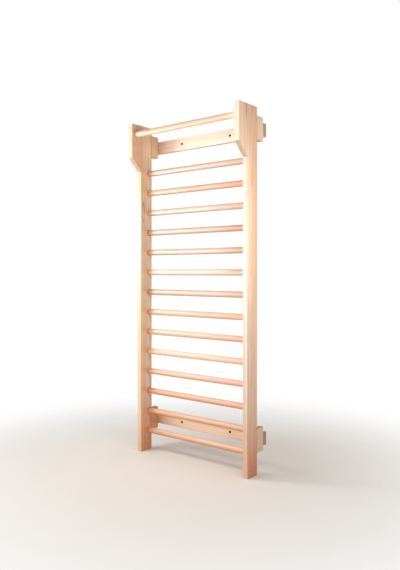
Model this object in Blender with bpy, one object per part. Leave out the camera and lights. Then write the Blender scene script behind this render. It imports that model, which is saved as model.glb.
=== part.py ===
"""Wall bars: two plank uprights with glued-on head blocks, fourteen round rungs, a pull-up bar,
two wall rails and the spacer blocks that hold the uprights off the wall.

Frame: +X along the rungs, +Y towards the wall, +Z up. The origin is on the floor, in the middle
of the whole assembly's width and depth. All lengths are in metres.
"""

import math

import bmesh
import bpy
from mathutils import Matrix

# ---------------------------------------------------------------- driving dimensions
GAP = 0.0003  # what touching faces keep between them

WIDTH = 0.900  # over both uprights
HEIGHT = 2.204  # floor to the top of the uprights

PLANK_T = 0.032  # upright, across (X)
PLANK_D = 0.104  # upright, front to back (Y)
HEAD_D = 0.084  # how far a head block stands in front of its upright
HEAD_NOSE_Z = 1.976  # lower end of the head block's front face
HEAD_HEEL_Z = 1.892  # where its sloping underside meets the upright: a 45 degree slope
BLOCK_D = 0.066  # spacer block, front to back
BLOCK_H = 0.146  # spacer block, top to bottom
LOWER_BLOCK_RISE = 0.003  # how far a lower block's middle is above its rail's
RAIL_T = 0.035  # wall rail, front to back
RAIL_H = 0.082  # wall rail, top to bottom
UPPER_RAIL_Z = 2.080  # middle of the upper rail
LOWER_RAIL_Z = 0.200  # middle of the lower rail

RUNG_COUNT = 14
RUNG_PITCH = 0.135
RUNG_LOWEST_Z = 0.132
RUNG_BACK = 0.079  # rung axis behind the upright's front edge
RUNG_D = 0.038
BAR_FORWARD = 0.044  # pull-up bar axis in front of the upright's front edge
BAR_Z = 2.1365
MORTISE_DEPTH = 0.020

WALL_HOLE_X = 0.200  # wall screw holes, either side of the middle
WALL_HOLE_D = 0.0085
WALL_CBORE_D = 0.0155
WALL_CBORE_DEPTH = 0.020

SCREW_SPREAD = 0.024  # joining screws, above and below the middle of the rail
SCREW_D = 0.006
SCREW_LENGTH = 0.135  # under the head
SCREW_TIP = 0.012
SCREW_HEAD_D = 0.0125
SCREW_HEAD_H = 0.0045
SCREW_SOCKET = 0.005  # hexagon socket, across flats
SCREW_SOCKET_DEPTH = 0.0025
SCREW_CBORE_D = 0.0145
SCREW_CBORE_DEPTH = 0.009

DOWEL_D = 0.010
DOWEL_LENGTH = 0.060
DOWEL_ZS = (1.985, 2.178)

EDGE = 0.0025  # eased arrises
FOOT_EDGE = 0.0045  # the two long arrises of an upright's foot, which are eased more
ROUND = 24  # sides of a rung or bar
SMALL_ROUND = 16  # sides of a screw, dowel or small hole

# ---------------------------------------------------------------- derived planes
DEPTH = HEAD_D + PLANK_D + BLOCK_D + RAIL_T
FRONT = -DEPTH / 2  # head blocks' front
PLANK_FRONT = FRONT + HEAD_D
PLANK_BACK = PLANK_FRONT + PLANK_D
BLOCK_BACK = PLANK_BACK + BLOCK_D
WALL = DEPTH / 2  # rails' back
INNER_X = WIDTH / 2 - PLANK_T  # uprights' inner faces
MID_X = WIDTH / 2 - PLANK_T / 2  # middle of an upright's thickness
RUNG_Y = PLANK_FRONT + RUNG_BACK
BAR_Y = PLANK_FRONT - BAR_FORWARD
SIDES = (("left", -1), ("right", 1))
RAILS = (("upper", UPPER_RAIL_Z), ("lower", LOWER_RAIL_Z))

ALONG_X = Matrix.Rotation(math.pi / 2, 4, "Y")  # turns a +Z cylinder to run along +X
ALONG_Y = Matrix.Rotation(-math.pi / 2, 4, "X")  # turns a +Z cylinder to run along +Y


def clear_scene():
    for obj in list(bpy.data.objects):
        bpy.data.objects.remove(obj, do_unlink=True)


def material(name, colour, roughness, metallic=0.0):
    made = bpy.data.materials.new(name)
    made.use_nodes = True
    shader = made.node_tree.nodes["Principled BSDF"]
    shader.inputs["Base Color"].default_value = (*colour, 1.0)
    shader.inputs["Roughness"].default_value = roughness
    shader.inputs["Metallic"].default_value = metallic
    made.diffuse_color = (*colour, 1.0)
    return made


def new_object(name, bm, where, finish=None, parent=None):
    bmesh.ops.recalc_face_normals(bm, faces=bm.faces[:])
    mesh = bpy.data.meshes.new(name)
    bm.to_mesh(mesh)
    bm.free()
    obj = bpy.data.objects.new(name, mesh)
    bpy.context.scene.collection.objects.link(obj)
    obj.location = where
    if finish is not None:
        mesh.materials.append(finish)
    if parent is not None:
        obj.parent = parent
    return obj


def ease_edges(obj, width_of=lambda a, b: EDGE):
    """Rounds each arris by width_of its two ends, which are in the object's own coordinates. 0 leaves it sharp."""
    widths = [
        width_of(*(obj.data.vertices[i].co for i in edge.vertices))
        for edge in obj.data.edges
    ]
    widest = max(widths)
    weights = obj.data.attributes.new("bevel_weight_edge", "FLOAT", "EDGE")
    for weight, width in zip(weights.data, widths):
        weight.value = width / widest
    bevel = obj.modifiers.new("eased_edges", "BEVEL")
    bevel.width = widest
    bevel.segments = 2
    bevel.limit_method = "WEIGHT"


def cut(obj, cutter):
    boolean = obj.modifiers.new("holes", "BOOLEAN")
    boolean.operation = "DIFFERENCE"
    boolean.solver = "EXACT"
    boolean.object = cutter


def cylinder(bm, diameter, length, turn, centre, sides):
    """A closed cylinder in bm, `length` long, its middle at `centre`, its +Z end turned by `turn`."""
    bmesh.ops.create_cone(
        bm,
        cap_ends=True,
        segments=sides,
        radius1=diameter / 2,
        radius2=diameter / 2,
        depth=length,
        matrix=Matrix.Translation(centre) @ turn,
    )


def cutter_object(name, bm, where):
    obj = new_object(name, bm, where)
    obj.hide_render = True
    obj.display_type = "WIRE"
    return obj


def board(name, size, where, finish, parent):
    """A sawn board with eased arrises, its middle at `where`."""
    bm = bmesh.new()
    bmesh.ops.create_cube(bm, size=1.0)
    bmesh.ops.scale(bm, vec=size, verts=bm.verts[:])
    obj = new_object(name, bm, where, finish, parent)
    ease_edges(obj)
    return obj


def turned(name, profile, turn, where, finish, parent, sides):
    """A solid of revolution about its own +Z. `profile` is (radius, z) from the bottom to the top, ends on the axis."""
    bm = bmesh.new()
    rings = []
    for radius, z in profile:
        if radius < 1e-9:
            rings.append([bm.verts.new((0.0, 0.0, z))])
        else:
            rings.append(
                [
                    bm.verts.new(
                        (
                            radius * math.cos(2 * math.pi * k / sides),
                            radius * math.sin(2 * math.pi * k / sides),
                            z,
                        )
                    )
                    for k in range(sides)
                ]
            )
    for low, high in zip(rings, rings[1:]):
        for k in range(sides):
            n = (k + 1) % sides
            if len(low) == 1:
                bm.faces.new((low[0], high[n], high[k]))
            elif len(high) == 1:
                bm.faces.new((low[k], low[n], high[0]))
            else:
                bm.faces.new((low[k], low[n], high[n], high[k]))
    for ring in (rings[0], rings[-1]):
        if len(ring) > 1:
            bm.faces.new(ring)
    bmesh.ops.transform(bm, matrix=turn, verts=bm.verts[:])
    obj = new_object(name, bm, where, finish, parent)
    obj.data.shade_smooth()
    obj.data.set_sharp_from_angle(angle=math.radians(30))
    return obj


def rod_profile(diameter, length, chamfer):
    r, h = diameter / 2, length / 2
    return [(r - chamfer, -h), (r, -h + chamfer), (r, h - chamfer), (r - chamfer, h)]


def upright(name, side, finish, parent):
    """A full-height plank with blind mortises for the rungs and blind holes for screws and dowels."""
    x = side * MID_X
    y = (PLANK_FRONT + PLANK_BACK) / 2
    bm = bmesh.new()
    bmesh.ops.create_cube(bm, size=1.0)
    bmesh.ops.scale(bm, vec=(PLANK_T, PLANK_D, HEIGHT), verts=bm.verts[:])
    heel = HEAD_HEEL_Z - HEIGHT / 2
    bmesh.ops.bisect_plane(
        bm,
        geom=bm.verts[:] + bm.edges[:] + bm.faces[:],
        plane_co=(0, 0, heel),
        plane_no=(0, 0, 1),
    )
    obj = new_object(name, bm, (x, y, HEIGHT / 2), finish, parent)
    front = -PLANK_D / 2
    foot = -HEIGHT / 2

    def width_of(a, b):
        """Sharp where the head block is glued on, and across the plank at its heel, which is no arris."""
        across = abs(a.z - heel) < 1e-5 and abs(b.z - heel) < 1e-5
        in_front = a.y < front + 1e-5 and b.y < front + 1e-5
        if across or (in_front and min(a.z, b.z) > heel - 1e-5):
            return 0.0
        long_one = abs(a.y - b.y) > PLANK_D / 2
        return FOOT_EDGE if long_one and max(a.z, b.z) < foot + 1e-5 else EDGE

    ease_edges(obj, width_of)
    bm = bmesh.new()
    over = 0.010  # the cutters run past the face they enter
    for i in range(RUNG_COUNT):
        z = RUNG_LOWEST_Z + i * RUNG_PITCH
        cylinder(
            bm,
            RUNG_D + 2 * GAP,
            MORTISE_DEPTH + over,
            ALONG_X,
            (side * (INNER_X + (MORTISE_DEPTH - over) / 2), RUNG_Y, z),
            ROUND,
        )
    grip = SCREW_LENGTH - (RAIL_T - SCREW_CBORE_DEPTH) - BLOCK_D + 2 * GAP
    for _, rail_z in RAILS:
        for step in (-SCREW_SPREAD, SCREW_SPREAD):
            cylinder(
                bm,
                SCREW_D + 2 * GAP,
                grip + over,
                ALONG_Y,
                (x, PLANK_BACK - (grip - over) / 2, rail_z + step),
                SMALL_ROUND,
            )
    seat = DOWEL_LENGTH / 2 + GAP
    for z in DOWEL_ZS:
        cylinder(
            bm,
            DOWEL_D + 2 * GAP,
            seat + over,
            ALONG_Y,
            (x, PLANK_FRONT + (seat - over) / 2, z),
            SMALL_ROUND,
        )
    cut(obj, cutter_object(name + "_cutter", bm, (0, 0, 0)))
    return obj


def head_block(name, side, finish, parent):
    """The piece glued on the upright's front edge at the top: square in front, sloping underneath, with the bar's mortise."""
    x = side * MID_X
    back = PLANK_FRONT - GAP
    outline = [
        (FRONT, HEAD_NOSE_Z),
        (FRONT, HEIGHT),
        (back, HEIGHT),
        (back, HEAD_HEEL_Z + GAP),
    ]
    bm = bmesh.new()
    mid_y, mid_z = (FRONT + back) / 2, (HEAD_HEEL_Z + HEIGHT) / 2
    flat = bm.faces.new(
        [bm.verts.new((-PLANK_T / 2, y - mid_y, z - mid_z)) for y, z in outline]
    )
    grown = bmesh.ops.extrude_face_region(bm, geom=[flat])
    bmesh.ops.translate(
        bm,
        vec=(PLANK_T, 0, 0),
        verts=[v for v in grown["geom"] if isinstance(v, bmesh.types.BMVert)],
    )
    obj = new_object(name, bm, (x, mid_y, mid_z), finish, parent)
    glue_face = back - mid_y - 1e-5
    ease_edges(obj, lambda a, b: 0.0 if min(a.y, b.y) > glue_face else EDGE)
    bm = bmesh.new()
    over = 0.010
    cylinder(
        bm,
        RUNG_D + 2 * GAP,
        MORTISE_DEPTH + over,
        ALONG_X,
        (side * (INNER_X + (MORTISE_DEPTH - over) / 2), BAR_Y, BAR_Z),
        ROUND,
    )
    seat = DOWEL_LENGTH / 2 + GAP
    for z in DOWEL_ZS:
        cylinder(
            bm,
            DOWEL_D + 2 * GAP,
            seat + over,
            ALONG_Y,
            (x, back - (seat - over) / 2, z),
            SMALL_ROUND,
        )
    cut(obj, cutter_object(name + "_cutter", bm, (0, 0, 0)))
    return obj


def wall_rail(name, z, finish, parent):
    """The batten against the wall, with two counterbored wall screw holes and four counterbores at its back."""
    front = BLOCK_BACK + GAP
    obj = board(
        name,
        (WIDTH, WALL - front, RAIL_H),
        (0, (front + WALL) / 2, z),
        finish,
        parent,
    )
    over = 0.010
    deep = bmesh.new()  # the wide, shallow part of every hole
    for x in (-WALL_HOLE_X, WALL_HOLE_X):
        cylinder(
            deep,
            WALL_CBORE_D,
            WALL_CBORE_DEPTH + over,
            ALONG_Y,
            (x, front + (WALL_CBORE_DEPTH - over) / 2, z),
            SMALL_ROUND,
        )
    for side in (-1, 1):
        for step in (-SCREW_SPREAD, SCREW_SPREAD):
            cylinder(
                deep,
                SCREW_CBORE_D,
                SCREW_CBORE_DEPTH + over,
                ALONG_Y,
                (side * MID_X, WALL - (SCREW_CBORE_DEPTH - over) / 2, z + step),
                SMALL_ROUND,
            )
    cut(obj, cutter_object(name + "_counterbores", deep, (0, 0, 0)))
    thin = bmesh.new()  # the narrow part, right through
    middle = (front + WALL) / 2
    for x in (-WALL_HOLE_X, WALL_HOLE_X):
        cylinder(thin, WALL_HOLE_D, 2 * RAIL_T, ALONG_Y, (x, middle, z), SMALL_ROUND)
    for side in (-1, 1):
        for step in (-SCREW_SPREAD, SCREW_SPREAD):
            cylinder(
                thin,
                SCREW_D + 2 * GAP,
                2 * RAIL_T,
                ALONG_Y,
                (side * MID_X, middle, z + step),
                SMALL_ROUND,
            )
    cut(obj, cutter_object(name + "_through_holes", thin, (0, 0, 0)))
    return obj


def spacer_block(name, side, z, rise, finish, parent):
    """The block between an upright and a rail, with two clearance holes for the joining screws.
    Its middle is `rise` above z, the middle of the rail."""
    front = PLANK_BACK + GAP
    where = (side * MID_X, (front + BLOCK_BACK) / 2, z + rise)
    obj = board(
        name, (PLANK_T, BLOCK_BACK - front, BLOCK_H), where, finish, parent
    )
    bm = bmesh.new()
    for step in (-SCREW_SPREAD, SCREW_SPREAD):
        cylinder(
            bm,
            SCREW_D + 2 * GAP,
            2 * BLOCK_D,
            ALONG_Y,
            (where[0], where[1], z + step),
            SMALL_ROUND,
        )
    cut(obj, cutter_object(name + "_cutter", bm, (0, 0, 0)))
    return obj


def joining_screw(name, side, z, finish, parent):
    """A long wood screw, head at the rail's back, point in the upright. Its own +Z runs from the point to the head."""
    r = SCREW_D / 2
    under_head = 0.0
    profile = [
        (0.0, -SCREW_LENGTH),
        (r, -SCREW_LENGTH + SCREW_TIP),
        (r, under_head),
        (SCREW_HEAD_D / 2 - 0.0012, under_head),
        (SCREW_HEAD_D / 2, under_head + 0.0012),
        (SCREW_HEAD_D / 2, SCREW_HEAD_H - 0.0012),
        (SCREW_HEAD_D / 2 - 0.0012, SCREW_HEAD_H),
    ]
    y = WALL - SCREW_CBORE_DEPTH + GAP
    obj = turned(
        name, profile, ALONG_Y, (side * MID_X, y, z), finish, parent, SMALL_ROUND
    )
    bm = bmesh.new()
    cylinder(
        bm,
        SCREW_SOCKET / math.cos(math.pi / 6),
        2 * SCREW_SOCKET_DEPTH,
        ALONG_Y,
        (side * MID_X, y + SCREW_HEAD_H, z),
        6,
    )
    cut(obj, cutter_object(name + "_socket", bm, (0, 0, 0)))
    return obj


def main():
    clear_scene()
    bpy.context.scene.unit_settings.system = "METRIC"
    bpy.context.scene.unit_settings.scale_length = 1.0

    plank = material("plank_wood", (0.78, 0.54, 0.35), 0.45)
    head = material("head_wood", (0.80, 0.58, 0.38), 0.45)
    rung = material("rung_wood", (0.82, 0.56, 0.36), 0.38)
    rail = material("rail_wood", (0.80, 0.60, 0.41), 0.45)
    block = material("block_wood", (0.77, 0.56, 0.38), 0.48)
    dowel = material("dowel_wood", (0.74, 0.52, 0.33), 0.6)
    steel = material("screw_steel", (0.55, 0.54, 0.52), 0.35, 1.0)

    frame = bpy.data.objects.new("wall_bars", None)
    bpy.context.scene.collection.objects.link(frame)

    for name, side in SIDES:
        upright(name + "_upright", side, plank, frame)
        head_block(name + "_head_block", side, head, frame)
        for z, where in zip(DOWEL_ZS, ("lower", "upper")):
            turned(
                name + "_head_dowel_" + where,
                rod_profile(DOWEL_D, DOWEL_LENGTH, 0.001),
                ALONG_Y,
                (side * MID_X, PLANK_FRONT - GAP / 2, z),
                dowel,
                frame,
                SMALL_ROUND,
            )

    between = 2 * (INNER_X + MORTISE_DEPTH - GAP)
    for i in range(RUNG_COUNT):
        turned(
            "rung_%02d" % (i + 1),
            rod_profile(RUNG_D, between, 0.0015),
            ALONG_X,
            (0, RUNG_Y, RUNG_LOWEST_Z + i * RUNG_PITCH),
            rung,
            frame,
            ROUND,
        )
    turned(
        "pull_up_bar",
        rod_profile(RUNG_D, between, 0.0015),
        ALONG_X,
        (0, BAR_Y, BAR_Z),
        rung,
        frame,
        ROUND,
    )

    for level, z in RAILS:
        wall_rail(level + "_wall_rail", z, rail, frame)
        rise = LOWER_BLOCK_RISE if level == "lower" else 0.0
        for name, side in SIDES:
            spacer_block(
                level + "_" + name + "_spacer_block", side, z, rise, block, frame
            )
            for step, where in ((-SCREW_SPREAD, "low"), (SCREW_SPREAD, "high")):
                joining_screw(
                    level + "_" + name + "_joining_screw_" + where,
                    side,
                    z + step,
                    steel,
                    frame,
                )


main()
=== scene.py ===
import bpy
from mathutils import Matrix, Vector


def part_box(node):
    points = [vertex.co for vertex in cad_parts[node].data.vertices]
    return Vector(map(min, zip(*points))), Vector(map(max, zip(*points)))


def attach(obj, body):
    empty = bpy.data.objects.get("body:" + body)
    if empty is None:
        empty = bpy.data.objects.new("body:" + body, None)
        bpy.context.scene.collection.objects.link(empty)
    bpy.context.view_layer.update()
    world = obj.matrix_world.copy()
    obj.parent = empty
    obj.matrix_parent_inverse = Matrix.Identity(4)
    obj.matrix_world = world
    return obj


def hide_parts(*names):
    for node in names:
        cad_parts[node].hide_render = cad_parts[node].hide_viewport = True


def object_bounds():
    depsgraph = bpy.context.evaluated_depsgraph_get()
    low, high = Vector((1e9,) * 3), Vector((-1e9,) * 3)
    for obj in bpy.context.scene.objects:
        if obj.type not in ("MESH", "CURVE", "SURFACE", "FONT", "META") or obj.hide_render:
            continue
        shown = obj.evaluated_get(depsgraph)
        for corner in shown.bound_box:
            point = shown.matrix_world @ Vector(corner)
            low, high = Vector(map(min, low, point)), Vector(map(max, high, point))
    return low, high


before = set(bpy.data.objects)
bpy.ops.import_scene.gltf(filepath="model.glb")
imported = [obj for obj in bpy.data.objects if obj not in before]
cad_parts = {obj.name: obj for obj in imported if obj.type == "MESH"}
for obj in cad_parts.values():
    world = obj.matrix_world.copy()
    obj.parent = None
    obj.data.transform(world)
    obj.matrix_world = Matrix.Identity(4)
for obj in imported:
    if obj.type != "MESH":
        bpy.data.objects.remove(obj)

"""The looks of the wall bars: every piece of the frame is modelled again with rounded arrises, round rungs and real
holes, and is finished as clear-varnished softwood. Lengths are in metres, +X along the rungs, +Y towards the wall.
Each piece's own origin is its middle, so that its wood is a block of solid grain cut by its surfaces."""

import math

import bmesh
import bpy
from mathutils import Matrix, Vector

CAD_LOW, CAD_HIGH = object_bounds()

# ---------------------------------------------------------------- sizes that the frame's boxes don't give
EDGE = 0.0025  # eased arrises
FOOT_EDGE = 0.0045  # the long arrises of an upright's foot
ARRIS = 0.0014  # the front arrises of uprights and head blocks
GLUE_EDGE = 0.0004  # the arrises on either side of a head block's glue joint
EDGE_STEPS = 4
ROUND = 64  # sides of a rung or bar
BORE_ROUND = 40  # sides of a small hole, a screw or a dowel
MORTISE_EASE = 0.0003  # the mouth of a mortise
WALL_HOLE_X = 0.200
WALL_HOLE_D = 0.0085
WALL_CBORE_D = 0.0155
WALL_CBORE_DEPTH = 0.020
SCREW_CBORE_D = 0.0145
SCREW_CBORE_DEPTH = 0.009
SCREW_HOLE_D = 0.0064
DOWEL_HOLE_D = 0.0104
GAP = 0.0003

ALONG_X = Matrix.Rotation(math.pi / 2, 4, "Y")  # turns +Z to +X
ALONG_Y = Matrix.Rotation(-math.pi / 2, 4, "X")  # turns +Z to +Y
AGAINST_X = Matrix.Rotation(-math.pi / 2, 4, "Y")
AGAINST_Y = Matrix.Rotation(math.pi / 2, 4, "X")


# ---------------------------------------------------------------- shapes
def middle(node):
    low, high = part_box(node)
    return (low + high) / 2


def mesh_object(name, bm):
    bmesh.ops.recalc_face_normals(bm, faces=bm.faces[:])
    mesh = bpy.data.meshes.new(name)
    bm.to_mesh(mesh)
    bm.free()
    obj = bpy.data.objects.new(name, mesh)
    bpy.context.scene.collection.objects.link(obj)
    return obj


def apply_modifiers(obj):
    bpy.context.view_layer.update()
    graph = bpy.context.evaluated_depsgraph_get()
    made = bpy.data.meshes.new_from_object(
        obj.evaluated_get(graph), preserve_all_data_layers=True, depsgraph=graph
    )
    old, name = obj.data, obj.data.name
    obj.modifiers.clear()
    obj.data = made
    bpy.data.meshes.remove(old)
    made.name = name


def ease(obj, width_of):
    """Rounds each arris by width_of its two ends; 0 leaves it sharp."""
    mesh = obj.data
    widths = [
        width_of(*(mesh.vertices[i].co for i in edge.vertices)) for edge in mesh.edges
    ]
    widest = max(widths)
    weights = mesh.attributes.new("bevel_weight_edge", "FLOAT", "EDGE")
    for weight, width in zip(weights.data, widths):
        weight.value = width / widest
    bevel = obj.modifiers.new("eased", "BEVEL")
    bevel.width = widest
    bevel.segments = EDGE_STEPS
    bevel.limit_method = "WEIGHT"
    apply_modifiers(obj)


def turned(bm, profile, place, sides):
    """A solid of revolution about place's own +Z. profile is (radius, z), and its ends are closed."""
    rings = []
    for radius, z in profile:
        if radius < 1e-9:
            rings.append([bm.verts.new(place @ Vector((0.0, 0.0, z)))])
            continue
        ring = []
        for k in range(sides):
            angle = 2 * math.pi * k / sides
            at = Vector((radius * math.cos(angle), radius * math.sin(angle), z))
            ring.append(bm.verts.new(place @ at))
        rings.append(ring)
    for low, high in zip(rings, rings[1:]):
        for k in range(sides):
            n = (k + 1) % sides
            if len(low) == 1:
                bm.faces.new((low[0], high[n], high[k]))
            elif len(high) == 1:
                bm.faces.new((low[k], low[n], high[0]))
            else:
                bm.faces.new((low[k], low[n], high[n], high[k]))
    for ring in (rings[0], rings[-1]):
        if len(ring) > 1:
            bm.faces.new(ring)


def bore(bm, mouth, turn, diameter, depth, ease_by=0.0004, point=True, sides=BORE_ROUND):
    """A cutter for a blind hole that starts at mouth and runs along turn's +Z, its mouth eased and its end as a drill leaves it."""
    r, past = diameter / 2, 0.0007
    profile = [(r + ease_by + past, -past), (r, ease_by), (r, depth)]
    if point:
        profile.append((0.0, depth + r * math.tan(math.radians(31))))
    turned(bm, profile, Matrix.Translation(mouth) @ turn, sides)


def cut(obj, bm, inside):
    """Cuts bm out of obj. The new faces take the finish `inside`."""
    cutter = mesh_object(obj.name + "_cutter", bm)
    cutter.data.materials.append(inside)
    if inside.name not in [m.name for m in obj.data.materials if m]:
        obj.data.materials.append(inside)
    boolean = obj.modifiers.new("holes", "BOOLEAN")
    boolean.operation = "DIFFERENCE"
    boolean.solver = "EXACT"
    boolean.material_mode = "TRANSFER"
    boolean.object = cutter
    apply_modifiers(obj)
    bpy.data.objects.remove(cutter, do_unlink=True)


def shade(obj, angle=32):
    """Smooth over the rounded arrises, sharp at the mouths of holes, flat on the flat faces."""
    obj.data.shade_smooth()
    obj.data.set_sharp_from_angle(angle=math.radians(angle))
    even = obj.modifiers.new("even", "WEIGHTED_NORMAL")
    even.keep_sharp = True
    even.weight = 100
    apply_modifiers(obj)


def place(obj, where, node, slot):
    """Puts a finished piece where its CAD node is, which it stands for."""
    obj.location = where
    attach(obj, "root")
    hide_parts(node)
    return obj


def block_of_wood(name, size, finish):
    bm = bmesh.new()
    bmesh.ops.create_cube(bm, size=1.0)
    bmesh.ops.scale(bm, vec=size, verts=bm.verts[:])
    obj = mesh_object(name, bm)
    obj.data.materials.append(finish)
    return obj


# ---------------------------------------------------------------- node building
class Nodes:
    """Short forms for laying out a node tree."""

    def __init__(self, tree):
        self.tree = tree

    def put(self, kind, **settings):
        node = self.tree.nodes.new(kind)
        for key, value in settings.items():
            setattr(node, key, value)
        return node

    def feed(self, socket, value):
        if isinstance(value, bpy.types.NodeSocket):
            self.tree.links.new(value, socket)
        else:
            socket.default_value = value

    def math(self, operation, *values, clamp=False):
        node = self.put("ShaderNodeMath", operation=operation, use_clamp=clamp)
        for socket, value in zip(node.inputs, values):
            self.feed(socket, value)
        return node.outputs[0]

    def vector(self, operation, *values, scale=None):
        node = self.put("ShaderNodeVectorMath", operation=operation)
        for socket, value in zip(node.inputs, values):
            self.feed(socket, value)
        if scale is not None:
            self.feed(node.inputs["Scale"], scale)
        kinds = ("LENGTH", "DOT_PRODUCT", "DISTANCE")
        return node.outputs["Value" if operation in kinds else "Vector"]

    def step(self, value, low, high, to_low=0.0, to_high=1.0):
        """A smooth step of value between low and high."""
        node = self.put("ShaderNodeMapRange", interpolation_type="SMOOTHSTEP")
        for name, given in (
            ("Value", value),
            ("From Min", low),
            ("From Max", high),
            ("To Min", to_low),
            ("To Max", to_high),
        ):
            self.feed(node.inputs[name], given)
        return node.outputs["Result"]

    def noise(self, vector, detail=2.0, roughness=0.5, colour=False, distortion=0.0):
        node = self.put("ShaderNodeTexNoise", noise_dimensions="3D")
        self.feed(node.inputs["Vector"], vector)
        self.feed(node.inputs["Scale"], 1.0)
        self.feed(node.inputs["Detail"], detail)
        self.feed(node.inputs["Roughness"], roughness)
        self.feed(node.inputs["Distortion"], distortion)
        return node.outputs["Color" if colour else "Fac"]

    def noise_1d(self, value, detail=1.0):
        node = self.put("ShaderNodeTexNoise", noise_dimensions="1D")
        self.feed(node.inputs["W"], value)
        self.feed(node.inputs["Scale"], 1.0)
        self.feed(node.inputs["Detail"], detail)
        return node.outputs["Fac"]

    def mix(self, factor, a, b, blend="MIX"):
        node = self.put("ShaderNodeMix", data_type="RGBA", blend_type=blend)
        node.clamp_factor = True
        sockets = {s.identifier: s for s in node.inputs}
        self.feed(sockets["Factor_Float"], factor)
        self.feed(sockets["A_Color"], a)
        self.feed(sockets["B_Color"], b)
        return {s.identifier: s for s in node.outputs}["Result_Color"]

    def group(self, tree, **values):
        node = self.put("ShaderNodeGroup", node_tree=tree)
        for name, value in values.items():
            self.feed(node.inputs[name.replace("_", " ")], value)
        return node


def new_group(name, inputs, outputs):
    tree = bpy.data.node_groups.new(name, "ShaderNodeTree")
    for label, kind in inputs:
        tree.interface.new_socket(
            name=label, in_out="INPUT", socket_type="NodeSocket" + kind
        )
    for label, kind in outputs:
        tree.interface.new_socket(
            name=label, in_out="OUTPUT", socket_type="NodeSocket" + kind
        )
    n = Nodes(tree)
    return n, n.put("NodeGroupInput").outputs, n.put("NodeGroupOutput").inputs


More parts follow.
